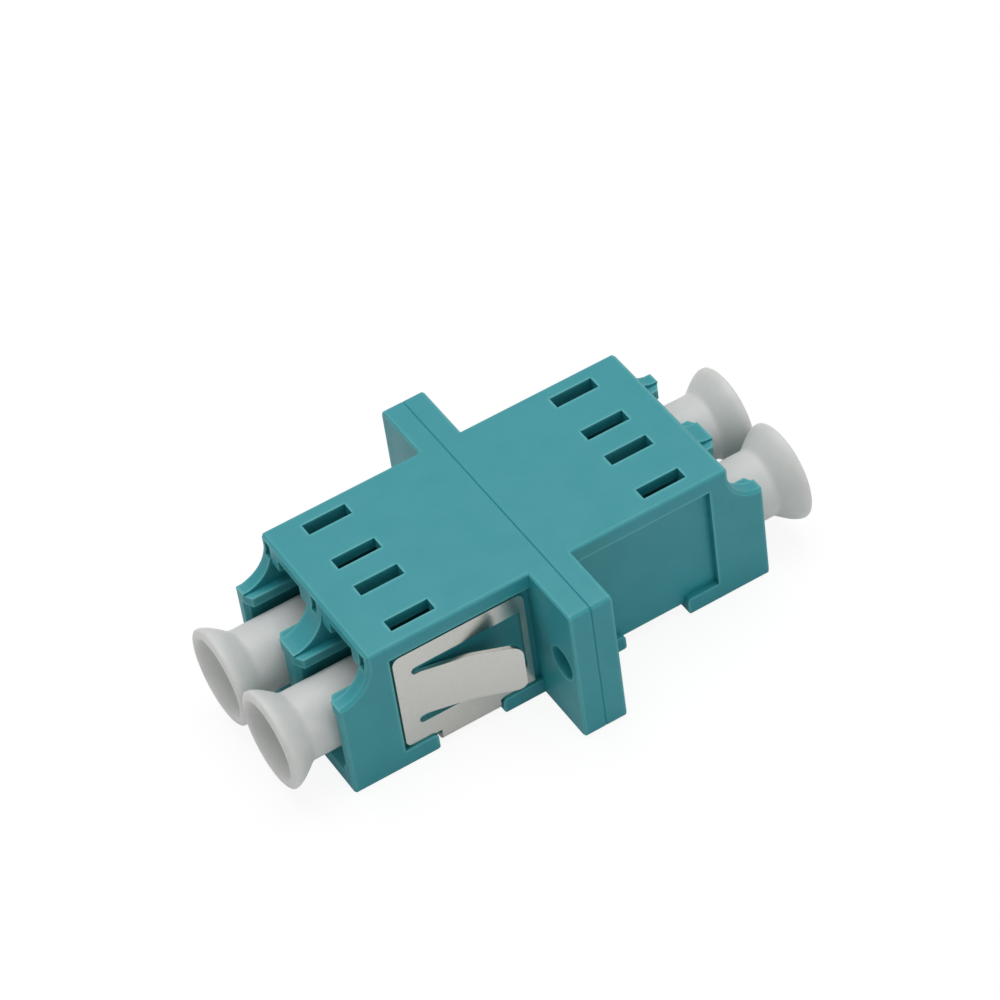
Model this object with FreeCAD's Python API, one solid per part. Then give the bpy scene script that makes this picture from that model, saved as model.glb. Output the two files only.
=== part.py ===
"""Duplex adapter for two pairs of LC fibre plugs, with dust caps and a panel clip.

Two equal mouldings are welded face to face at a flange with two screw holes.
Each half has two plug ports side by side. Inside, two split ceramic sleeves sit
in barrels and line up the ferrules of facing plugs. A bent steel clip hugs the
half at -X, and a trumpet-shaped soft cap closes each of the four ports.

Frame: X along the fibres, Y across both ports, Z up. The origin is the centre
of the weld plane, halfway up the flange. All sizes are in millimetres.
"""
import FreeCAD, Part
import math
import os
from FreeCAD import Vector

# Driving sizes of the moulded body
PORT_PITCH = 6.25        # between the fibre axes of one end, the duplex standard
AXIS_Z = -1.0            # fibre axes, measured from the middle of the flange
BODY_WIDTH = 12.8
BODY_HEIGHT = 10.6
BODY_REACH = 15.0        # weld plane to the end of the side walls
PLATE_REACH = 12.7       # weld plane to the front edge of the top plate
PLATE_THICK = 0.8
FLANGE_WIDTH = 22.0
FLANGE_THICK = 1.5       # of one half
SCREW_PITCH = 18.5
SCREW_HOLE = 2.3

# Port of one LC plug: a square hole for the plug, with room for its latch above
PORT_WIDTH = 4.65
PORT_HEIGHT = 4.7
RAIL_GAP = 3.36          # between the rails that hold the plug down
RAIL_THICK = 0.7
WALL_TOP = 3.2           # top of the walls in front of the plate, above the axes
WALL_BEVEL = 0.18        # along the outer edges of that top and on round the front of the plate
CATCH_OFFSET = 1.78      # catches and slots, to each side of the fibre axis
SLOT_WIDTH = 0.95
SLOT_START = 7.35
SLOT_LENGTH = 3.0
CATCH_DROP = 1.35        # below the plate, at its deep end
CATCH_RISE = 0.4         # how much the ramp of the catch rises to the mouth
MOUTH_SIDE = 0.3         # lead-in bevel at the sides of the mouth
MOUTH_FLOOR = 0.7        # height of the lead-in bevel of the floor
MOUTH_RUN = 0.9          # its length along X
RAIL_BEVEL_RUN = 0.35
NECK_RUN = 1.9           # length of the hollow curve from plate edge to wall top
NECK_DROP = 0.9          # straight drop below the top before that curve
NECK_MIDDLE_RUN = 0.33   # middle of that curve, as a share of its run
NECK_MIDDLE_RISE = 0.34  # and as a share of its height above the wall top
DIMPLE_WIDTH = 0.6       # dimples in the fronts of the three walls, under the plate
DIMPLE_HEIGHT = 1.1
DIMPLE_DEPTH = 0.6
DIMPLE_BELOW = 0.85      # centre of the dimple, below the top
DIMPLE_Y = 5.68          # of the two outer ones, from the middle of the body

# Seat of the panel clip, on both sides and under the body of each half
SEAT_DEPTH = 0.45
SEAT_REACH = 11.3
SEAT_TOP = 1.13          # below the top of the body
SEAT_UNDER = 0.6         # depth of the channel under the body
LIP_END_START = 9.0      # end lip, from here to the end of the seat
LIP_END_HEIGHT = 1.38
LIP_ROOT_REACH = 4.4     # flange lip, from the flange to here
LIP_ROOT_HEIGHT = 1.26
LIP_ROUND = 0.3
CHANNEL_BEVEL = 0.25     # on both rims of the channel

# Edges of the mouldings
FLANGE_ROUND = 0.35
FLANGE_EDGE = 0.1        # bevel round the outer face
BODY_ROUND = 0.2
FOOT_BEVEL = 0.12        # under the mouth
SEAM_BEVEL = 0.06

# Locating pin at +Y and its socket at -Y, on the weld plane
PIN_DIAMETER = 1.2
PIN_LENGTH = 0.8
PIN_ROOT = 0.2           # depth that a pin is let into its flange
PIN_Z = 3.4
PIN_CLEARANCE = 0.05

# Barrels and ceramic sleeves
SLEEVE_OUTER = 1.62
SLEEVE_BORE = 1.249
SLEEVE_LENGTH = 6.8
SLEEVE_SLIT = 0.25
SLEEVE_PLAY = 0.05       # radial room around a sleeve
SLEEVE_END_PLAY = 0.05   # room at each end of a sleeve
BARREL_OUTER = 2.8
BARREL_LIP = 0.5         # inward lip that keeps the sleeve in
BARREL_LIP_BORE = 1.4

# Panel clip, one strip of spring steel bent to a U with a tongue on each side
CLIP_THICK = 0.3
CLIP_CLEARANCE = 0.02    # to the plastic that it lies on
CLIP_END_GAP = 0.2       # to the end of its seat
CLIP_TOP_GAP = 0.3       # to the rim above it
CLIP_FOOT_GAP = 0.04     # to the lips under it
CLIP_ROOT_GAP = 0.5      # to the flange
CLIP_STRAP_GAP = 0.1     # strap to the flange lip
CLIP_STRAP_END_GAP = 0.35   # strap to the end lip
CLIP_CORNER = 0.55
CLIP_ROOT_CORNER = 0.2   # the lower one at the flange
CLIP_BEND = 0.35         # inner radius of the two bends
WINDOW_END_GAP = 1.13    # from the outer edge of the panel to the window
WINDOW_ROOT_GAP = 0.38   # from the root edge of the panel to the window
WINDOW_TOP_GAP = 1.42
WINDOW_FOOT_GAP = 1.46
TONGUE_SLOT = 0.58
TONGUE_REACH = 5.93      # from the root to the free end, along X
TONGUE_RISE = 2.0        # of the free end, out of the panel
TONGUE_BEND_REACH = 2.9  # from the root to the bend halfway along the tongue
TONGUE_BEND_RISE = 0.7   # of that bend, out of the panel
TONGUE_CORNER = 0.7

# Dust cap, turned about its port's axis. Its places count back from its outer end.
CAP_START_GAP = 0.2      # from the bottom of the port
CAP_LENGTH = 16.9
CAP_SHANK = 2.27         # radius of the shank
CAP_WALL = 0.45
CAP_RIM = 3.27           # largest radius of the trumpet
CAP_RIM_WIDTH = 0.25     # straight edge of the rim
CAP_RIM_WALL = 0.28
CAP_RIM_GAP = 0.03       # from the middle plane, where two neighbouring rims press each other flat
CAP_FLARE_LENGTH = 1.7   # from the shank to the rim, in a steep cone and then a flatter one
CAP_BELL_RISE = 0.73     # how much the steep cone opens
CAP_LIP_LENGTH = 0.75    # of the flatter cone, up to the rim
CAP_FUNNEL_LENGTH = 2.3
CAP_GRIP_CLEARANCE = 0.05  # between the cap's bore and the barrel it slips over
CAP_GRIP_DEPTH = 5.0
CAP_WEB = 0.8

# Sizes that follow from the ones above
TOP = BODY_HEIGHT / 2
BOTTOM = -BODY_HEIGHT / 2
SIDE = BODY_WIDTH / 2
CEILING = TOP - PLATE_THICK
FLOOR = AXIS_Z - PORT_HEIGHT / 2
RAIL_UNDER = AXIS_Z + PORT_HEIGHT / 2
RAIL_TOP = RAIL_UNDER + RAIL_THICK
LATCH_WIDTH = 2 * CATCH_OFFSET + SLOT_WIDTH   # room above the rails, wall to wall
SHOULDER = AXIS_Z + WALL_TOP
PORT_YS = (-PORT_PITCH / 2, PORT_PITCH / 2)
BARREL_REACH = SLEEVE_LENGTH / 2 + SLEEVE_END_PLAY + BARREL_LIP
SEAT_FACE = SIDE - SEAT_DEPTH
CHANNEL_Z = BOTTOM + SEAT_UNDER
EXTRA = 1.0              # how far cutting tools run past the faces they cut
SAME = 1e-6              # two places closer than this are the same


def box(x0, x1, y0, y1, z0, z1):
    """A block between two corners, given in any order along each axis."""
    low = Vector(min(x0, x1), min(y0, y1), min(z0, z1))
    return Part.makeBox(abs(x1 - x0), abs(y1 - y0), abs(z1 - z0), low)


def rod_x(x0, x1, y, z, radius):
    """A round bar along X."""
    return Part.makeCylinder(radius, x1 - x0, Vector(x0, y, z), Vector(1, 0, 0))


def prism(points, along):
    """A closed outline of points, pushed along a vector."""
    wire = Part.makePolygon(points + [points[0]])
    return Part.Face(wire).extrude(along)


def edges_along(shape, axis):
    """The straight edges of a shape that run along an axis."""
    found = []
    for edge in shape.Edges:
        direction = edge.Vertexes[-1].Point - edge.Vertexes[0].Point
        if direction.Length > 0 and abs(direction.normalize().dot(axis)) > 0.999:
            found.append(edge)
    return found


def edges_where(shape, test):
    """The edges of a shape whose middle point passes a test."""
    found = []
    for edge in shape.Edges:
        middle = edge.valueAt((edge.FirstParameter + edge.LastParameter) / 2)
        if test(middle):
            found.append(edge)
    return found


def flange():
    """Flange plate of one half, with soft corners and bevelled edges."""
    half = FLANGE_WIDTH / 2
    plate = box(0, FLANGE_THICK, -half, half, BOTTOM, TOP)
    plate = plate.makeFillet(FLANGE_ROUND, edges_along(plate, Vector(1, 0, 0)))
    outer = edges_where(plate, lambda p: abs(p.x - FLANGE_THICK) < SAME)
    plate = plate.makeChamfer(FLANGE_EDGE, outer)
    seam = edges_where(plate, lambda p: abs(p.x) < SAME)
    return plate.makeChamfer(SEAM_BEVEL, seam)


def shell_block():
    """Outer block of one half, stepped down in a hollow curve at its mouth."""
    block = box(SEAM_BEVEL, BODY_REACH, -SIDE, SIDE, BOTTOM, TOP)
    block = block.makeFillet(BODY_ROUND, edges_along(block, Vector(1, 0, 0)))
    foot = edges_where(block, lambda p: abs(p.x - BODY_REACH) < SAME and p.z < BOTTOM + BODY_ROUND)
    block = block.makeChamfer(FOOT_BEVEL, foot)
    start = Vector(PLATE_REACH, -SIDE - EXTRA, TOP - NECK_DROP)
    end = Vector(PLATE_REACH + NECK_RUN, -SIDE - EXTRA, SHOULDER)
    middle = Vector(start.x + NECK_RUN * NECK_MIDDLE_RUN, start.y,
                    end.z + (start.z - end.z) * NECK_MIDDLE_RISE)
    curve = Part.Arc(start, middle, end).toShape()
    far = Vector(BODY_REACH + EXTRA, -SIDE - EXTRA, SHOULDER)
    high = Vector(BODY_REACH + EXTRA, -SIDE - EXTRA, TOP + EXTRA)
    back = Vector(PLATE_REACH, -SIDE - EXTRA, TOP + EXTRA)
    rest = Part.makePolygon([end, far, high, back, start])
    tool = Part.Face(Part.Wire([curve] + rest.Edges))
    block = block.cut(tool.extrude(Vector(0, BODY_WIDTH + 2 * EXTRA, 0)))
    outer = edges_where(block, on_wall_top)
    return block.makeChamfer(WALL_BEVEL, outer)


def on_wall_top(point):
    """Whether a point lies on the outer edge of a wall top, or on its curve up to the plate."""
    beside = abs(abs(point.y) - SIDE) < SAME
    return beside and point.x > PLATE_REACH + SAME and SHOULDER - SAME < point.z < TOP - NECK_DROP


def port_room(y):
    """Everything that is hollow in one port, apart from the barrel."""
    half = PORT_WIDTH / 2
    end = BODY_REACH + EXTRA
    plug = box(FLANGE_THICK, end, y - half, y + half, FLOOR, RAIL_UNDER)
    gap = box(FLANGE_THICK, end, y - RAIL_GAP / 2, y + RAIL_GAP / 2, RAIL_UNDER, RAIL_TOP)
    latch = box(FLANGE_THICK, end, y - LATCH_WIDTH / 2, y + LATCH_WIDTH / 2, RAIL_TOP, CEILING)
    return plug.multiFuse([gap, latch, mouth_bevel(y), rail_bevel(y)]).removeSplitter()


def mouth_bevel(y):
    """Lead-in of the square hole, flared at its sides and its floor."""
    half = PORT_WIDTH / 2
    slope = MOUTH_SIDE / RAIL_BEVEL_RUN
    run = RAIL_BEVEL_RUN + EXTRA
    wide = half + slope * run
    x = BODY_REACH - RAIL_BEVEL_RUN
    sides = prism([Vector(x, y - half, FLOOR), Vector(x + run, y - wide, FLOOR),
                   Vector(x + run, y + wide, FLOOR), Vector(x, y + half, FLOOR)],
                  Vector(0, 0, PORT_HEIGHT))
    x = BODY_REACH - MOUTH_RUN
    run = MOUTH_RUN + EXTRA
    deep = FLOOR - MOUTH_FLOOR / MOUTH_RUN * run
    floor = prism([Vector(x, y - half, FLOOR), Vector(x + run, y - half, deep),
                   Vector(x + run, y - half, FLOOR)], Vector(0, PORT_WIDTH, 0))
    return sides.fuse(floor)


def rail_bevel(y):
    """Bevel that opens the rails towards the mouth."""
    x = BODY_REACH - RAIL_BEVEL_RUN
    half = RAIL_GAP / 2
    slope = (PORT_WIDTH - RAIL_GAP) / 2 / RAIL_BEVEL_RUN
    run = RAIL_BEVEL_RUN + EXTRA
    wide = half + slope * run
    return prism([Vector(x, y - half, RAIL_UNDER), Vector(x + run, y - wide, RAIL_UNDER),
                  Vector(x + run, y + wide, RAIL_UNDER), Vector(x, y + half, RAIL_UNDER)],
                 Vector(0, 0, RAIL_THICK))


def catch(y, side):
    """One ramped catch under the plate, which the latch of a plug snaps behind."""
    inner = y + side * (CATCH_OFFSET - SLOT_WIDTH / 2)
    outer = y + side * LATCH_WIDTH / 2
    deep_end = SLOT_START + SLOT_LENGTH
    ramp = [Vector(deep_end, inner, CEILING), Vector(deep_end, inner, CEILING - CATCH_DROP),
            Vector(PLATE_REACH, inner, CEILING - CATCH_DROP + CATCH_RISE),
            Vector(PLATE_REACH, inner, CEILING)]
    return prism(ramp, Vector(0, outer - inner, 0))


def plate_slot(y, side):
    """One slot through the plate, where the mould forms the back of a catch."""
    middle = y + side * CATCH_OFFSET
    return box(SLOT_START, SLOT_START + SLOT_LENGTH, middle - SLOT_WIDTH / 2,
               middle + SLOT_WIDTH / 2, CEILING - EXTRA, TOP + EXTRA)


def dimple(y):
    """Small upright dimple in the front of a wall, just under the plate."""
    middle = TOP - DIMPLE_BELOW
    return box(PLATE_REACH - DIMPLE_DEPTH, PLATE_REACH + EXTRA, y - DIMPLE_WIDTH / 2,
               y + DIMPLE_WIDTH / 2, middle - DIMPLE_HEIGHT / 2, middle + DIMPLE_HEIGHT / 2)


def clip_seat(side):
    """Shallow seat on one side of the body, open below between its two lips."""
    seat = box(FLANGE_THICK, SEAT_REACH, side * SEAT_FACE, side * (SIDE + EXTRA),
               BOTTOM - EXTRA, TOP - SEAT_TOP)
    end_lip = lip(side, LIP_END_START, SEAT_REACH + EXTRA, LIP_END_HEIGHT)
    root_lip = lip(side, LIP_ROOT_REACH, FLANGE_THICK - EXTRA, LIP_ROOT_HEIGHT)
    return seat.cut(end_lip).cut(root_lip)


def lip(side, free_x, fixed_x, height):
    """One lip at the foot of the seat, with its free end rounded."""
    top = BOTTOM + height
    block = box(free_x, fixed_x, side * (SEAT_FACE - EXTRA), side * (SIDE + 2 * EXTRA),
                BOTTOM - 2 * EXTRA, top)
    corner = edges_where(block, lambda p: abs(p.x - free_x) < SAME and abs(p.z - top) < SAME)
    return block.makeFillet(LIP_ROUND, corner)


def clip_channel():
    """Channel across the bottom for the strap of the clip."""
    return box(LIP_ROOT_REACH, LIP_END_START, -SIDE - EXTRA, SIDE + EXTRA, BOTTOM - EXTRA, CHANNEL_Z)


def channel_bevel(x, outward):
    """Bevel along one rim of that channel, at x, widening outward."""
    start = x - outward * EXTRA
    slope_end = x + outward * CHANNEL_BEVEL
    places = [(start, BOTTOM + CHANNEL_BEVEL), (x, BOTTOM + CHANNEL_BEVEL), (slope_end, BOTTOM),
              (slope_end, BOTTOM - EXTRA), (start, BOTTOM - EXTRA)]
    outline = [Vector(place, -SIDE - EXTRA, z) for place, z in places]
    return prism(outline, Vector(0, BODY_WIDTH + 2 * EXTRA, 0))


def barrel(y):
    """Barrel on the web, before it is bored."""
    return rod_x(FLANGE_THICK / 2, BARREL_REACH, y, AXIS_Z, BARREL_OUTER / 2)


def barrel_bore(y):
    """Bore for the sleeve, with a smaller hole through the lip for the ferrule."""
    sleeve_end = BARREL_REACH - BARREL_LIP
    room = rod_x(-EXTRA, sleeve_end, y, AXIS_Z, SLEEVE_OUTER / 2 + SLEEVE_PLAY)
    hole = rod_x(0, BARREL_REACH + EXTRA, y, AXIS_Z, BARREL_LIP_BORE / 2)
    return room.fuse(hole)


def housing_half():
    """One moulding, drawn as the half at +X. The other is the same one, turned round."""
    body = flange().fuse(shell_block())
    body = body.cut(port_room(PORT_YS[0])).cut(port_room(PORT_YS[1]))
    added = []
    removed = [clip_seat(-1), clip_seat(1), clip_channel()]
    for y in PORT_YS:
        added.append(barrel(y))
        removed.append(barrel_bore(y))
        for side in (-1, 1):
            added.append(catch(y, side))
            removed.append(plate_slot(y, side))
    for y in (-DIMPLE_Y, 0, DIMPLE_Y):
        removed.append(dimple(y))
    for y in (-SCREW_PITCH / 2, SCREW_PITCH / 2):
        removed.append(rod_x(-EXTRA, FLANGE_THICK + EXTRA, y, 0, SCREW_HOLE / 2))
    added.append(rod_x(-PIN_LENGTH, PIN_ROOT, SCREW_PITCH / 2, PIN_Z, PIN_DIAMETER / 2))
    removed.append(rod_x(-EXTRA, PIN_LENGTH + PIN_CLEARANCE, -SCREW_PITCH / 2, PIN_Z,
                         PIN_DIAMETER / 2 + PIN_CLEARANCE))
    body = body.multiFuse(added)
    for tool in removed:
        body = body.cut(tool)
    corners = edges_where(body, lambda p: on_bend(p, SEAT_FACE, CHANNEL_Z))
    body = body.makeFillet(CLIP_BEND - CLIP_CLEARANCE, corners)
    body = body.cut(channel_bevel(LIP_ROOT_REACH, -1)).cut(channel_bevel(LIP_END_START, 1))
    return body.removeSplitter()


def on_bend(point, y, z):
    """Whether a point lies on one of the two lower edges that the clip bends round."""
    return abs(abs(point.y) - y) < SAME and abs(point.z - z) < SAME


def turned(shape):
    """The same shape, turned half a turn about Z."""
    copy = shape.copy()
    copy.rotate(Vector(0, 0, 0), Vector(0, 0, 1), 180)
    return copy


def sleeve(y):
    """Split ceramic sleeve: a thin tube with one slit along its whole length."""
    half = SLEEVE_LENGTH / 2
    tube = rod_x(-half, half, y, AXIS_Z, SLEEVE_OUTER / 2)
    tube = tube.cut(rod_x(-half - EXTRA, half + EXTRA, y, AXIS_Z, SLEEVE_BORE / 2))
    slit = box(-half - EXTRA, half + EXTRA, y - SLEEVE_SLIT / 2, y + SLEEVE_SLIT / 2,
               AXIS_Z, AXIS_Z + SLEEVE_OUTER)
    return tube.cut(slit)


def plate_y(outline, y, thickness):
    """A flat sheet from a face drawn in XZ, with its inner face at y."""
    sheet = outline.extrude(Vector(0, thickness, 0))
    sheet.translate(Vector(0, y, 0))
    return sheet


def rounded_face(x0, x1, z0, z1, radius):
    """Face in the XZ plane with four equal round corners."""
    block = box(x0, x1, 0, EXTRA, z0, z1)
    block = block.makeFillet(radius, edges_along(block, Vector(0, 1, 0)))
    for face in block.Faces:
        if abs(face.CenterOfMass.y) < SAME:
            return face


def tongue(x_root, z0, z1):
    """Spring tongue of one side, bent outwards in two steps, its root's inner face at y = 0."""
    end = x_root - TONGUE_REACH
    bends = [(x_root, 0), (x_root - TONGUE_BEND_REACH, TONGUE_BEND_RISE), (end, TONGUE_RISE)]
    inner = [Vector(x, y, z0) for x, y in bends]
    outer = [Vector(x, y + CLIP_THICK, z0) for x, y in reversed(bends)]
    sheet = prism(inner + outer, Vector(0, 0, z1 - z0))
    outline = rounded_face(end, x_root + 2 * TONGUE_CORNER, z0, z1, TONGUE_CORNER)
    return sheet.common(plate_y(outline, -EXTRA, TONGUE_RISE + 2 * EXTRA))


def clip_side():
    """Side panel of the clip with its window and tongue, for the half at +X, side +Y."""
    x0 = FLANGE_THICK + CLIP_ROOT_GAP
    x1 = SEAT_REACH - CLIP_END_GAP
    z0 = BOTTOM + LIP_END_HEIGHT + CLIP_FOOT_GAP
    z1 = TOP - SEAT_TOP - CLIP_TOP_GAP
    y = SEAT_FACE + CLIP_CLEARANCE
    leg_x0 = LIP_ROOT_REACH + CLIP_STRAP_GAP
    leg_x1 = LIP_END_START - CLIP_STRAP_END_GAP
    panel = plate_y(rounded_face(x0, x1, z0, z1, CLIP_CORNER), y, CLIP_THICK)
    foot_z = BOTTOM + LIP_ROOT_HEIGHT + CLIP_FOOT_GAP
    foot = plate_y(rounded_face(x0, leg_x1, foot_z, 0, CLIP_ROOT_CORNER), y, CLIP_THICK)
    bend_top = CHANNEL_Z - CLIP_CLEARANCE + CLIP_BEND
    leg = box(leg_x0, leg_x1, y, y + CLIP_THICK, bend_top, z0 + CLIP_CORNER)
    w0 = x0 + WINDOW_ROOT_GAP
    w1 = x1 - WINDOW_END_GAP
    wz0 = z0 + WINDOW_FOOT_GAP
    wz1 = z1 - WINDOW_TOP_GAP
    t0 = wz0 + TONGUE_SLOT
    t1 = wz1 - TONGUE_SLOT
    round_x = w1 - TONGUE_SLOT / 2
    window = box(w0, round_x, y - EXTRA, y + EXTRA, wz0, wz1)
    ends = []
    for z in (wz0 + TONGUE_SLOT / 2, wz1 - TONGUE_SLOT / 2):
        ends.append(Part.makeCylinder(TONGUE_SLOT / 2, 2 * EXTRA, Vector(round_x, y - EXTRA, z),
                                      Vector(0, 1, 0)))
    root = box(w1 - TONGUE_SLOT, w1, y, y + CLIP_THICK, t0, t1)
    spring = tongue(w1 - TONGUE_SLOT, t0, t1)
    spring.translate(Vector(0, y, 0))
    return panel.multiFuse([foot, leg]).cut(window.multiFuse(ends)).multiFuse([root, spring])


def clip_strap():
    """Strap under the body with its two bends, for the half at +X."""
    y = SEAT_FACE + CLIP_CLEARANCE
    z = CHANNEL_Z - CLIP_CLEARANCE
    x0 = LIP_ROOT_REACH + CLIP_STRAP_GAP
    x1 = LIP_END_START - CLIP_STRAP_END_GAP
    outer = box(x0, x1, -y - CLIP_THICK, y + CLIP_THICK, z - CLIP_THICK, z + 2 * CLIP_BEND)
    inner = box(x0 - EXTRA, x1 + EXTRA, -y, y, z, z + 2 * CLIP_BEND + EXTRA)
    bends = edges_where(outer, lambda p: on_bend(p, y + CLIP_THICK, z - CLIP_THICK))
    outer = outer.makeFillet(CLIP_BEND + CLIP_THICK, bends)
    bends = edges_where(inner, lambda p: on_bend(p, y, z))
    inner = inner.makeFillet(CLIP_BEND, bends)
    return outer.cut(inner)


def panel_clip():
    """The whole clip, one piece, turned to the half at -X."""
    side = clip_side()
    other = side.mirror(Vector(0, 0, 0), Vector(0, 1, 0))
    clip = clip_strap().multiFuse([side, other]).removeSplitter()
    return turned(clip)


def cap_profile():
    """Half section of a dust cap in XZ about the X axis, for a port at +X."""
    start = FLANGE_THICK + CAP_START_GAP
    end = start + CAP_LENGTH
    rim = end - CAP_RIM_WIDTH
    web = start + CAP_GRIP_DEPTH
    grip = BARREL_OUTER / 2 + CAP_GRIP_CLEARANCE
    bore = CAP_SHANK - CAP_WALL
    places = [(start, CAP_SHANK), (rim - CAP_FLARE_LENGTH, CAP_SHANK),
              (rim - CAP_LIP_LENGTH, CAP_SHANK + CAP_BELL_RISE), (rim, CAP_RIM), (end, CAP_RIM),
              (end, CAP_RIM - CAP_RIM_WALL), (end - CAP_FUNNEL_LENGTH, bore),
              (web + CAP_WEB, bore), (web + CAP_WEB, 0), (web, 0), (web, grip), (start, grip)]
    corners = [Vector(x, 0, radius) for x, radius in places]
    return Part.Face(Part.makePolygon(corners + corners[:1]))


def dust_cap(end, y):
    """Soft cap in one port. It grips the barrel, and its trumpet is the finger hold."""
    cap = cap_profile().revolve(Vector(0, 0, 0), Vector(1, 0, 0), 360)
    if end < 0:
        cap = turned(cap)
    cap.translate(Vector(0, y, AXIS_Z))
    return cap.cut(neighbour_side(y))


def neighbour_side(y):
    """All the room on the other side of the middle plane, to cut a cap's rim flat with."""
    side = math.copysign(1, y)
    reach = BODY_REACH + CAP_LENGTH
    return box(-reach, reach, side * CAP_RIM_GAP, -side * BODY_WIDTH, -BODY_WIDTH, BODY_WIDTH)


def main():
    """Make every piece and write one STEP file for each."""
    half = housing_half()
    pieces = {"housing_front_half": turned(half), "housing_rear_half": half,
              "panel_clip": panel_clip()}
    for place, y in (("near", PORT_YS[0]), ("far", PORT_YS[1])):
        pieces["split_sleeve_" + place] = sleeve(y)
        pieces["dust_cap_front_" + place] = dust_cap(-1, y)
        pieces["dust_cap_rear_" + place] = dust_cap(1, y)
    os.makedirs("parts", exist_ok=True)
    for name, shape in pieces.items():
        if len(shape.Solids) != 1 or not shape.isValid():
            raise ValueError(name + " is not one sound solid")
        shape.Solids[0].exportStep(os.path.join("parts", name + ".step"))


main()
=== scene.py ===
import math

import bmesh
import bpy
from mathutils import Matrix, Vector


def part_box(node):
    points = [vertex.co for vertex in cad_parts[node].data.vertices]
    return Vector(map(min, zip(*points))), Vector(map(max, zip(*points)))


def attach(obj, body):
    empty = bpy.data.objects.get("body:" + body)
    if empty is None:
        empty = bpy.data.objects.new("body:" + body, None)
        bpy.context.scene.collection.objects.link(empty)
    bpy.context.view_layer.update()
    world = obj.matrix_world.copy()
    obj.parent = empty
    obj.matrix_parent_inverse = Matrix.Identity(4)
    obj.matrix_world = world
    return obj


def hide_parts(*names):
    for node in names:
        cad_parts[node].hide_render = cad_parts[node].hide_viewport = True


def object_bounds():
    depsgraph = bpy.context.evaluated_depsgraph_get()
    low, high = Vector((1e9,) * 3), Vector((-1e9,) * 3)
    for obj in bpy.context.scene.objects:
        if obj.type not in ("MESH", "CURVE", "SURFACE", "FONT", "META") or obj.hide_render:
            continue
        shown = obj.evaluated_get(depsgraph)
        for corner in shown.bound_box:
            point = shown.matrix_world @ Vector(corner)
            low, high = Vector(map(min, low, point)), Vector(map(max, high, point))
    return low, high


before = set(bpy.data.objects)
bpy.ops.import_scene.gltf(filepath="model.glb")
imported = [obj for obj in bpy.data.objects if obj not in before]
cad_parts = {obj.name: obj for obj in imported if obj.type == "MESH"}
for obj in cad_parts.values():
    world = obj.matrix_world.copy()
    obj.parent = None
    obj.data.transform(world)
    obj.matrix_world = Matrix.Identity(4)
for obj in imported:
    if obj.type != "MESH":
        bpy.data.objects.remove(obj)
cad_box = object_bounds()
MM = 0.001               # the frame is in metres, the sizes below are in millimetres

# Housing halves
# The body is one moulding of aqua glass-filled polyester, used twice and welded back to back
# The mould leaves a fine satin grain and small radii; edges get a painted highlight, hollows painted
# shade.
HOUSINGS = ("housing_front_half", "housing_rear_half")
DOUBLES = 0.0005         # corners of the frame's triangles that are nearer than this are one
EDGE_RADIUS = 0.07
EDGE_STEPS = 2
EDGE_ANGLE = 25          # degrees between two faces, past which their edge is a sharp one
AQUA = (0.024, 0.318, 0.368, 1)
AQUA_DEEP = (0.019, 0.275, 0.308, 1)     # in soft patches
AQUA_PAINTED_HIGHLIGHT = (0.11, 0.49, 0.51, 1)        # painted highlight along the outer edges
AQUA_PAINTED_SHADE = (0.017, 0.23, 0.235, 1)      # painted shade, where next to no light gets in
AQUA_ROUGHNESS = (0.36, 0.5)
AQUA_GRAIN = 14          # grains of the moulded surface, per millimetre
AQUA_RELIEF = 0.006      # depth of the grain
AQUA_PATCHES = 0.35      # soft patches in the colour, per millimetre
AQUA_PATCH_SHARE = 0.5   # of the deep tone, in the middle of a patch
AQUA_GLOW = 0.03         # share of the light that passes a little way into the plastic
AQUA_GLOW_REACH = 0.35
AQUA_GLOW_PARTS = (0.4, 1.0, 1.0)        # of that reach, for red, green and blue
AQUA_EDGE = 0.4          # how far the painted highlight along an edge reaches
AQUA_EDGE_GAIN = 5
AQUA_WELD = (0.1, 0.6)   # from the weld plane out, where the painted edge highlight starts and is full
AQUA_TIGHT = 0.5         # how near a wall has to be to shut out light
PATTERN_SPAN = (0.3, 0.7)    # the values that a noise pattern mostly keeps between
GRAIN_LAYERS = 3         # layers of ever finer noise in the grain, and in the patches
PATCH_LAYERS = 4
PATCH_BREAK = 0.6        # strength of each layer of the patches against the one before it
EDGE_SAMPLES = 6
TIGHT_SAMPLES = 8
TIGHT_LIGHT = (0.15, 0.65)   # share of light let in, over which the painted shade of a hollow fades out
OPEN_LIGHT = (0.7, 0.95)     # share of light let in, over which the painted edge highlight comes back
MIX_COLOURS = (0, 6, 7)  # places of the factor and the two colours among a Mix node's inputs
MIX_RESULT = 2           # place of the colour among its outputs


def add_object(name, data):
    """A new object at the origin of the scene."""
    obj = bpy.data.objects.new(name, data)
    bpy.context.scene.collection.objects.link(obj)
    return obj


def merged_copy(node, name):
    """A copy of a CAD node's mesh with its doubles merged."""
    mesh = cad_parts[node].data.copy()
    mesh.name = name
    mesh.materials.clear()
    if mesh.attributes.get("custom_normal"):
        mesh.attributes.remove(mesh.attributes["custom_normal"])
    solid = bmesh.new()
    solid.from_mesh(mesh)
    bmesh.ops.remove_doubles(solid, verts=solid.verts, dist=DOUBLES * MM)
    solid.to_mesh(mesh)
    solid.free()
    return add_object(name, mesh)


def soften(obj, radius, steps, angle):
    """Small radii on the sharp edges, with flat faces kept flat."""
    obj.data.shade_smooth()
    bevel = obj.modifiers.new("edge radii", "BEVEL")
    bevel.width = radius * MM
    bevel.segments = steps
    bevel.limit_method = "ANGLE"
    bevel.angle_limit = math.radians(angle)
    bevel.harden_normals = True
    bevel.use_clamp_overlap = True
    bevel.miter_outer = "MITER_ARC"


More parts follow.
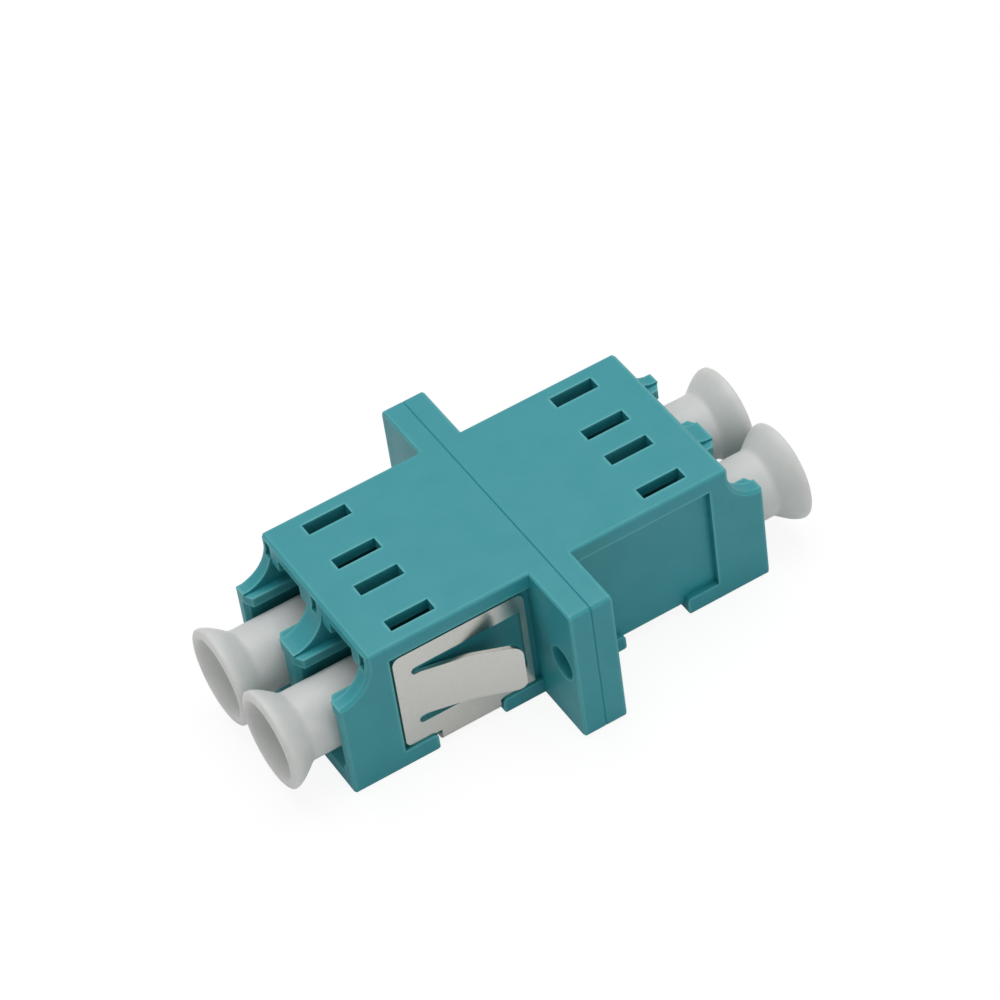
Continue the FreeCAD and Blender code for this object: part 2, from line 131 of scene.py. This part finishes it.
class Nodes:
    """A node tree, with short ways to add nodes and to link them."""

    def __init__(self, tree):
        self.tree = tree

    def put(self, node, socket, value):
        """A value for a node's input, or a link to it from another node's output."""
        if isinstance(value, bpy.types.NodeSocket):
            self.tree.links.new(value, node.inputs[socket])
        else:
            node.inputs[socket].default_value = value

    def add(self, kind, settings=None, **inputs):
        """A node with its settings and inputs. An underscore stands for a space."""
        node = self.tree.nodes.new(kind)
        for name, value in (settings or {}).items():
            setattr(node, name, value)
        for socket, value in inputs.items():
            self.put(node, socket.replace("_", " "), value)
        return node

    def in_order(self, kind, settings, *values):
        """Outputs of a node whose inputs are filled in their order."""
        node = self.add(kind, settings)
        for place, value in enumerate(values):
            self.put(node, place, value)
        return node.outputs

    def math(self, operation, *values, clamp=False):
        """The result of an operation on numbers or outputs."""
        settings = {"operation": operation, "use_clamp": clamp}
        return self.in_order("ShaderNodeMath", settings, *values)["Value"]

    def spread(self, value, low, high, start=PATTERN_SPAN[0], end=PATTERN_SPAN[1]):
        """A value from start to end brought to the range from low to high."""
        return self.add("ShaderNodeMapRange", Value=value, From_Min=start, From_Max=end,
                        To_Min=low, To_Max=high).outputs["Result"]


class Group(Nodes):
    """A node tree of its own, with named inputs, given, and outputs, which give sets."""

    def __init__(self, name, kind, inputs, outputs):
        super().__init__(bpy.data.node_groups.new(name, kind))
        self.identifiers = {}
        for side, labels in (("INPUT", inputs), ("OUTPUT", outputs)):
            for label, sort in labels.items():
                socket = self.tree.interface.new_socket(label, in_out=side,
                                                        socket_type="NodeSocket" + sort)
                self.identifiers[label] = socket.identifier
        self.given = self.add("NodeGroupInput").outputs
        self.result = self.add("NodeGroupOutput")

    def give(self, label, value):
        self.put(self.result, label, value)


def surface_grain():
    """Group: fine grain as a height, and soft patches as a mask."""
    group = Group("Surface Grain", "ShaderNodeTree",
                  {"Vector": "Vector", "Grain": "Float", "Patches": "Float"},
                  {"Height": "Float", "Patch": "Float"})
    place = group.given["Vector"]
    fine = group.add("ShaderNodeTexNoise", Vector=place, Scale=group.given["Grain"],
                     Detail=GRAIN_LAYERS)
    soft = group.add("ShaderNodeTexNoise", Vector=place, Scale=group.given["Patches"],
                     Detail=PATCH_LAYERS, Roughness=PATCH_BREAK)
    group.give("Height", fine.outputs["Fac"])
    group.give("Patch", soft.outputs["Fac"])
    return group.tree


def soft_edges():
    """Group: a mask that is 1 along convex and concave edges and fades out within a radius."""
    group = Group("Soft Edges", "ShaderNodeTree", {"Radius": "Float", "Gain": "Float"},
                  {"Mask": "Float"})
    rounded = group.add("ShaderNodeBevel", {"samples": EDGE_SAMPLES}, Radius=group.given["Radius"])
    true = group.add("ShaderNodeNewGeometry")
    alike = group.in_order("ShaderNodeVectorMath", {"operation": "DOT_PRODUCT"},
                           rounded.outputs["Normal"], true.outputs["Normal"])["Value"]
    away = group.math("SUBTRACT", 1, alike)
    group.give("Mask", group.math("MULTIPLY", away, group.given["Gain"], clamp=True))
    return group.tree


def tight_places():
    """Group: Mask is 1 where next to no light gets in, for painted shade; Open is 0 in an inner
    corner and 1 off it.
    """
    group = Group("Tight Places", "ShaderNodeTree", {"Reach": "Float"},
                  {"Mask": "Float", "Open": "Float"})
    around = group.add("ShaderNodeAmbientOcclusion", {"samples": TIGHT_SAMPLES},
                       Distance=group.given["Reach"])
    group.give("Mask", group.spread(around.outputs["AO"], 1, 0, *TIGHT_LIGHT))
    group.give("Open", group.spread(around.outputs["AO"], 0, 1, *OPEN_LIGHT))
    return group.tree


class Finish(Nodes):
    """A material with its Principled shader."""

    def __init__(self, name, **constants):
        self.material = bpy.data.materials.new(name)
        self.material.use_nodes = True
        super().__init__(self.material.node_tree)
        self.shader = self.tree.nodes["Principled BSDF"]
        for socket, value in constants.items():
            self.set(socket.replace("_", " "), value)

    def set(self, socket, value):
        self.put(self.shader, socket, value)

    def group(self, tree, **inputs):
        """Outputs of a group that is placed in this material with its own values."""
        return self.add("ShaderNodeGroup", {"node_tree": tree}, **inputs).outputs

    def millimetres(self, stretch=(1, 1, 1)):
        """Object coordinates in millimetres, with each axis stretched by a factor."""
        place = self.add("ShaderNodeTexCoord").outputs["Object"]
        scale = [1 / MM / factor for factor in stretch]
        return self.add("ShaderNodeMapping", Vector=place, Scale=scale).outputs["Vector"]

    def mix(self, factor, first, second):
        """Colour between two colours."""
        node = self.add("ShaderNodeMix", {"data_type": "RGBA"})
        for place, value in zip(MIX_COLOURS, (factor, first, second)):
            self.put(node, place, value)
        return node.outputs[MIX_RESULT]

    def bump(self, height, depth):
        """Relief of a depth in millimetres, as the shader's normal."""
        relief = self.add("ShaderNodeBump", Height=height, Distance=depth * MM)
        self.set("Normal", relief.outputs["Normal"])


GRAIN = surface_grain()
EDGES = soft_edges()
TIGHT = tight_places()


def aqua_plastic():
    """Satin moulded polyester: even aqua, soft patches, painted edge highlight and painted hollow
    shade.
    """
    finish = Finish("aqua polyester", Subsurface_Weight=AQUA_GLOW,
                    Subsurface_Scale=AQUA_GLOW_REACH * MM, Subsurface_Radius=AQUA_GLOW_PARTS)
    place = finish.millimetres()
    grain = finish.group(GRAIN, Vector=place, Grain=AQUA_GRAIN, Patches=AQUA_PATCHES)
    edges = finish.group(EDGES, Radius=AQUA_EDGE * MM, Gain=AQUA_EDGE_GAIN)
    tight = finish.group(TIGHT, Reach=AQUA_TIGHT * MM)
    along = finish.add("ShaderNodeSeparateXYZ", Vector=place).outputs["X"]
    off_weld = finish.spread(finish.math("ABSOLUTE", along), 0, 1, *AQUA_WELD)
    # painted highlight along the edges, kept off the weld plane and out of inner corners
    edge_highlight = finish.math("MULTIPLY", edges["Mask"], off_weld)
    edge_highlight = finish.math("MULTIPLY", edge_highlight, tight["Open"])
    deep = finish.spread(grain["Patch"], 0, AQUA_PATCH_SHARE)
    tone = finish.mix(deep, AQUA, AQUA_DEEP)
    tone = finish.mix(edge_highlight, tone, AQUA_PAINTED_HIGHLIGHT)
    # painted shade in the hollows, where next to no light gets in
    finish.set("Base Color", finish.mix(tight["Mask"], tone, AQUA_PAINTED_SHADE))
    finish.set("Roughness", finish.spread(grain["Patch"], *AQUA_ROUGHNESS))
    finish.bump(grain["Height"], AQUA_RELIEF)
    return finish.material


aqua = aqua_plastic()
for node in HOUSINGS:
    moulding = merged_copy(node, node + "_moulding")
    moulding.data.materials.append(aqua)
    soften(moulding, EDGE_RADIUS, EDGE_STEPS, EDGE_ANGLE)
    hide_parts(node)
    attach(moulding, "adapter")

# Panel clip
# One strip of thin stainless spring steel, blanked, bent to a U round the body and with a
# tongue lanced out of each side. The rolled skin is satin, with a fine speckle.
STEEL = (0.67, 0.665, 0.63, 1)
STEEL_SHADE = (0.58, 0.575, 0.54, 1)
STEEL_ROUGHNESS = (0.21, 0.24)
STEEL_GRAIN = 13         # specks per millimetre
STEEL_PATCHES = 0.6      # patches in the gloss, per millimetre
STEEL_SPECK_SPAN = (0.35, 0.65)      # the stretch of the pattern from clear to a full speck
STEEL_SPECK_SHARE = 0.6  # of the shade, in a full speck


def rolled_steel():
    """Rolled stainless strip: metal with a fine speckle and soft patches in its gloss."""
    finish = Finish("rolled stainless strip", Metallic=1.0)
    skin = finish.group(GRAIN, Vector=finish.millimetres(), Grain=STEEL_GRAIN, Patches=STEEL_PATCHES)
    speckle = finish.spread(skin["Height"], 0, STEEL_SPECK_SHARE, *STEEL_SPECK_SPAN)
    finish.set("Base Color", finish.mix(speckle, STEEL, STEEL_SHADE))
    finish.set("Roughness", finish.spread(skin["Patch"], *STEEL_ROUGHNESS))
    return finish.material


clip = merged_copy("panel_clip", "panel_clip_strip")
clip.data.materials.append(rolled_steel())
clip.data.shade_smooth()
clip.data.set_sharp_from_angle(angle=math.radians(EDGE_ANGLE))
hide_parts("panel_clip")
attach(clip, "adapter")

# Split sleeves
# A ground tube of cream zirconia with one slit along it sits loose in each barrel, and
# springs open round the ferrules of the two plugs. It shows when the caps are out.
ZIRCONIA = (0.80, 0.77, 0.69, 1)
ZIRCONIA_WARM = (0.74, 0.70, 0.60, 1)
ZIRCONIA_ROUGHNESS = (0.12, 0.24)
ZIRCONIA_COAT = 0.3
ZIRCONIA_INDEX = 2.0     # of refraction
ZIRCONIA_GRAIN = 2       # grains across the sleeve, per millimetre
ZIRCONIA_RINGS = (0.05, 1, 1)    # the grain is squeezed to rings along the sleeve
ZIRCONIA_RELIEF = 0.001
ZIRCONIA_PATCHES = 0.6   # per millimetre


def ground_zirconia():
    """Ground ceramic: cream, hard and glossy, with faint turning marks."""
    finish = Finish("ground zirconia", Coat_Weight=ZIRCONIA_COAT, IOR=ZIRCONIA_INDEX)
    marks = finish.group(GRAIN, Vector=finish.millimetres(ZIRCONIA_RINGS), Grain=ZIRCONIA_GRAIN,
                         Patches=ZIRCONIA_PATCHES)
    finish.set("Base Color", finish.mix(marks["Patch"], ZIRCONIA, ZIRCONIA_WARM))
    finish.set("Roughness", finish.spread(marks["Height"], *ZIRCONIA_ROUGHNESS))
    finish.bump(marks["Height"], ZIRCONIA_RELIEF)
    return finish.material


zirconia = ground_zirconia()
for place in ("near", "far"):
    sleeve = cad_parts["split_sleeve_" + place]
    sleeve.data.materials.clear()
    sleeve.data.materials.append(zirconia)

# Dust caps
# Four trumpets of soft milky polyethylene close the ports. Each is moulded round, grips the
# barrel inside with a blind bore, and flares to a rim that the fingers pull it out by.
CAP_TURN_STEPS = 96
CAP_SHANK = 2.27         # radius of the shank
CAP_BORE = 1.84          # radius inside the shank
CAP_GRIP = 1.45          # radius of the blind bore that slips over the barrel
CAP_GRIP_DEPTH = 5.0
CAP_WEB = 0.8            # wall between the blind bore and the trumpet
CAP_FOOT_ROUND = 0.25    # rounding of the inner end
CAP_FOOT_PULL = 0.1      # how near the corner its curve is pulled
CAP_FOOT_STEPS = 6
CAP_SHARP = 35           # degrees, past which an edge is a crisp one
CAP_DOUBLES = 0.0002
NECK_BACK = 2.1          # places on the trumpet, measured back from its outer end
BELL_BACK = 1.75
LIP_BACK = 0.24
FUNNEL_BACK = 2.6
NECK_BEND = 0.12         # pull of the tight bend from shank to bell
BELL_SLOPE = 0.77        # rise of the bell over its length
BELL_PULL = 0.45         # pull of the bell's curve at both ends
LIP_STEP = 0.5           # from the largest radius in to the edge of the mouth
LIP_NOSE = 0.08          # from the outer end back, where the rim turns in
LIP_CURL = 0.15          # pull of the rim's curve at the edge of the mouth
LIP_STEPS = 8
MOUTH_PULL = (0.1, 0.3)  # pull of the funnel's curve at its mouth, back and inwards
THROAT_PULL = (0.1, 0.2)     # the same at its throat, back from the bell and outwards
CURVE_STEPS = 14
MILKY = (0.73, 0.735, 0.725, 1)
MILKY_GREY = (0.67, 0.685, 0.67, 1)
MILKY_ROUGHNESS = (0.38, 0.5)
MILKY_GLOW = 0.7         # share of the light that passes into the plastic
MILKY_GLOW_REACH = 1.2
MILKY_GLOW_PARTS = (1.0, 1.0, 0.9)
MILKY_GRAIN = 6          # per millimetre
MILKY_RELIEF = 0.008
MILKY_PATCHES = 0.45     # per millimetre


def smooth_curve(a, b, c, d, steps=CURVE_STEPS):
    """Points of a cubic curve from a to d, pulled towards b and c."""
    points = []
    for i in range(steps + 1):
        t = i / steps
        s = 1 - t
        weights = (s ** 3, 3 * s * s * t, 3 * s * t * t, t ** 3)
        points.append(tuple(sum(w * p[k] for w, p in zip(weights, (a, b, c, d))) for k in (0, 1)))
    return points


def cap_outline(length, rim):
    """Half section from axis to axis, as distances from the inner end and radii."""
    neck, bell, lip = length - NECK_BACK, length - BELL_BACK, length - LIP_BACK
    mouth = rim - LIP_STEP
    bell_radius = CAP_SHANK + BELL_SLOPE * (bell - neck) / 2
    hollow = smooth_curve((neck, CAP_SHANK), (neck + NECK_BEND, CAP_SHANK),
                          (bell - NECK_BEND, bell_radius - NECK_BEND * BELL_SLOPE),
                          (bell, bell_radius))
    belly = smooth_curve((bell, bell_radius),
                         (bell + BELL_PULL, bell_radius + BELL_PULL * BELL_SLOPE),
                         (lip - BELL_PULL, rim), (lip, rim))
    edge = smooth_curve((lip, rim), (length - LIP_NOSE, rim),
                        (length, mouth + LIP_CURL), (length, mouth), LIP_STEPS)
    funnel = smooth_curve((length, mouth), (length - MOUTH_PULL[0], mouth - MOUTH_PULL[1]),
                          (bell - THROAT_PULL[0], CAP_BORE + THROAT_PULL[1]),
                          (length - FUNNEL_BACK, CAP_BORE))
    foot = smooth_curve((CAP_FOOT_ROUND, CAP_SHANK), (CAP_FOOT_PULL, CAP_SHANK),
                        (0, CAP_SHANK - CAP_FOOT_PULL), (0, CAP_SHANK - CAP_FOOT_ROUND),
                        CAP_FOOT_STEPS)
    web = CAP_GRIP_DEPTH + CAP_WEB
    inside = [(web, 0), (web, CAP_BORE)]
    grip = [(0, CAP_GRIP), (CAP_GRIP_DEPTH, CAP_GRIP), (CAP_GRIP_DEPTH, 0)]
    return inside + funnel[::-1] + edge[-2::-1] + belly[-2::-1] + hollow[-2::-1] + foot + grip


def turning():
    """Geometry nodes that turn an outline round X, place it and press it flat at its box."""
    group = Group("Turned Cap", "GeometryNodeTree",
                  {"Outline": "Geometry", "Steps": "Int", "Start": "Vector", "Turn": "Vector",
                   "Low": "Vector", "High": "Vector", "Sharp": "Float", "Material": "Material"},
                  {"Mesh": "Geometry"})
    given = group.given
    circle = group.add("GeometryNodeCurvePrimitiveCircle", Resolution=given["Steps"], Radius=MM)
    sweep = group.add("GeometryNodeCurveToMesh", Curve=circle.outputs["Curve"],
                      Profile_Curve=given["Outline"])
    lay = group.add("GeometryNodeTransform", Rotation=(0, math.radians(-90), 0))
    place = group.add("GeometryNodeTransform", Rotation=given["Turn"], Translation=given["Start"])
    pressed = group.add("GeometryNodeInputPosition").outputs["Position"]
    for corner, operation in (("Low", "MAXIMUM"), ("High", "MINIMUM")):
        pressed = group.in_order("ShaderNodeVectorMath", {"operation": operation},
                                 pressed, given[corner])["Vector"]
    press = group.add("GeometryNodeSetPosition", Position=pressed)
    merge = group.add("GeometryNodeMergeByDistance", Distance=CAP_DOUBLES * MM)
    smooth = group.add("GeometryNodeSetShadeSmooth")
    angle = group.add("GeometryNodeInputMeshEdgeAngle").outputs["Unsigned Angle"]
    blunt = group.add("FunctionNodeCompare", {"data_type": "FLOAT", "operation": "LESS_THAN"},
                      A=angle, B=given["Sharp"])
    creases = group.add("GeometryNodeSetShadeSmooth", {"domain": "EDGE"},
                        Shade_Smooth=blunt.outputs["Result"])
    realize = group.add("GeometryNodeRealizeInstances")
    paint = group.add("GeometryNodeSetMaterial", Material=given["Material"])
    chain = [sweep, lay, place, press, merge, smooth, creases, realize, paint, group.result]
    for first, second in zip(chain, chain[1:]):
        group.put(second, 0, first.outputs[0])
    return group


def outline_curve(points, name):
    """A poly curve of the outline. Its X is the radius less the sweep circle's one millimetre."""
    curve = bpy.data.curves.new(name, "CURVE")
    curve.dimensions = "3D"
    line = curve.splines.new("POLY")
    line.points.add(len(points) - 1)
    for point, (along, radius) in zip(line.points, points):
        point.co = (radius * MM - MM, along * MM, 0, 1)
    return curve


def evaluated_piece(carrier, name):
    """The plain mesh of a carrier object's modifiers, as an object of its own."""
    depsgraph = bpy.context.evaluated_depsgraph_get()
    mesh = bpy.data.meshes.new_from_object(carrier.evaluated_get(depsgraph), depsgraph=depsgraph)
    mesh.name = name
    piece = add_object(name, mesh)
    bpy.data.objects.remove(carrier)
    return piece


def milky_polyethylene():
    """Soft milky polyethylene: light passes a little way in, and the skin is faintly uneven."""
    finish = Finish("milky polyethylene", Subsurface_Weight=MILKY_GLOW,
                    Subsurface_Scale=MILKY_GLOW_REACH * MM, Subsurface_Radius=MILKY_GLOW_PARTS)
    skin = finish.group(GRAIN, Vector=finish.millimetres(), Grain=MILKY_GRAIN, Patches=MILKY_PATCHES)
    finish.set("Base Color", finish.mix(finish.spread(skin["Patch"], 0, 1), MILKY, MILKY_GREY))
    finish.set("Roughness", finish.spread(skin["Patch"], *MILKY_ROUGHNESS))
    finish.bump(skin["Height"], MILKY_RELIEF)
    return finish.material


lathe = turning()
milky = milky_polyethylene()
for end in ("front", "rear"):
    for place in ("near", "far"):
        node = "dust_cap_" + end + "_" + place
        low, high = (Vector(corner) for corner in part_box(node))
        rim = (high.z - low.z) / 2
        points = cap_outline((high.x - low.x) / MM, rim / MM)
        carrier = add_object(node + "_carrier", outline_curve(points, node + "_outline"))
        modifier = carrier.modifiers.new("turning", "NODES")
        modifier.node_group = lathe.tree
        inner_end = low.x if end == "rear" else high.x
        middle = low.y + rim if place == "near" else high.y - rim
        turn = (0, 0, 0 if end == "rear" else math.pi)
        for label, value in (("Steps", CAP_TURN_STEPS), ("Start", (inner_end, middle, high.z - rim)),
                             ("Turn", turn), ("Low", low), ("High", high),
                             ("Sharp", math.radians(CAP_SHARP)), ("Material", milky)):
            modifier[lathe.identifiers[label]] = value
        cap = evaluated_piece(carrier, node + "_turning")
        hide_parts(node)
        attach(cap, node)

# Table and light
# The adapter lies loose on a white table, under a wide soft lamp overhead in a bright room.
# Two weak lamps, in front and at the left, fill its sides.
TABLE_SIZE = 3000
TABLE = (0.88, 0.88, 0.88, 1)
TABLE_ROUGHNESS = 0.6
TABLE_WHITE = 0.85       # share of plain white that the camera sees in the table
TABLE_MIRRORED = 0.15    # the same share, as the metal and the gloss mirror it
TABLE_GLOW = 1.06        # strength of that white
ROOM = (1, 1, 1, 1)
ROOM_LIGHT = 0.26        # on the object. The camera and the gloss see the room at 1
LAMPS = (                # name, place in millimetres, size in millimetres, strength in watts
    ("overhead", (30, 70, 420), 420, 1.15),
    ("front", (140, -420, 160), 300, 0.225),
    ("left", (-430, -40, 150), 260, 0.12),
)


def table_top():
    """White table that keeps the adapter's shadow and looks white to the camera."""
    finish = Finish("white table", Base_Color=TABLE, Roughness=TABLE_ROUGHNESS)
    glow = finish.add("ShaderNodeEmission", Strength=TABLE_GLOW)
    path = finish.add("ShaderNodeLightPath")
    mirrored = finish.math("MULTIPLY", path.outputs["Is Glossy Ray"], TABLE_MIRRORED)
    share = finish.math("MULTIPLY_ADD", path.outputs["Is Camera Ray"], TABLE_WHITE, mirrored)
    blend = finish.in_order("ShaderNodeMixShader", {}, share, finish.shader.outputs["BSDF"],
                            glow.outputs["Emission"])
    finish.put(finish.tree.nodes["Material Output"], "Surface", blend["Shader"])
    return finish.material


table_mesh = bpy.data.meshes.new("table")
reach = TABLE_SIZE * MM / 2
bottom = cad_box[0].z
table_mesh.from_pydata([(-reach, -reach, bottom), (reach, -reach, bottom), (reach, reach, bottom),
                        (-reach, reach, bottom)], [], [(0, 1, 2, 3)])
table_mesh.materials.append(table_top())
add_object("table", table_mesh)

for name, place, size, watts in LAMPS:
    lamp = bpy.data.lights.new(name, "AREA")
    lamp.shape = "DISK"
    lamp.size = size * MM
    lamp.energy = watts
    holder = add_object(name, lamp)
    holder.location = [value * MM for value in place]
    holder.rotation_euler = (-holder.location).to_track_quat("-Z", "Y").to_euler()

world = bpy.data.worlds.new("room")
world.use_nodes = True
bpy.context.scene.world = world
room = Nodes(world.node_tree)
path = room.add("ShaderNodeLightPath")
seen = room.math("MAXIMUM", path.outputs["Is Camera Ray"], path.outputs["Is Glossy Ray"])
background = world.node_tree.nodes["Background"]
room.put(background, "Color", ROOM)
room.put(background, "Strength", room.spread(seen, ROOM_LIGHT, 1, 0, 1))
bpy.context.scene.view_settings.view_transform = "Standard"

# Camera
# It stands where the photograph was taken from, about 26 cm away from the adapter and high
# above the clip's side of it.
CAMERA_LENS = 152.674
CAMERA_NEAR = 10         # what is nearer than this isn't drawn
CAMERA_PLACE = (-75.996, -162.346, 187.283)
CAMERA_TURN = (44.228, 6.1954, -31.5397)     # in degrees
camera = bpy.data.cameras.new("camera")
camera.lens = CAMERA_LENS
camera.clip_start = CAMERA_NEAR * MM
viewer = add_object("camera", camera)
viewer.location = [value * MM for value in CAMERA_PLACE]
viewer.rotation_euler = [math.radians(angle) for angle in CAMERA_TURN]
bpy.context.scene.camera = viewer
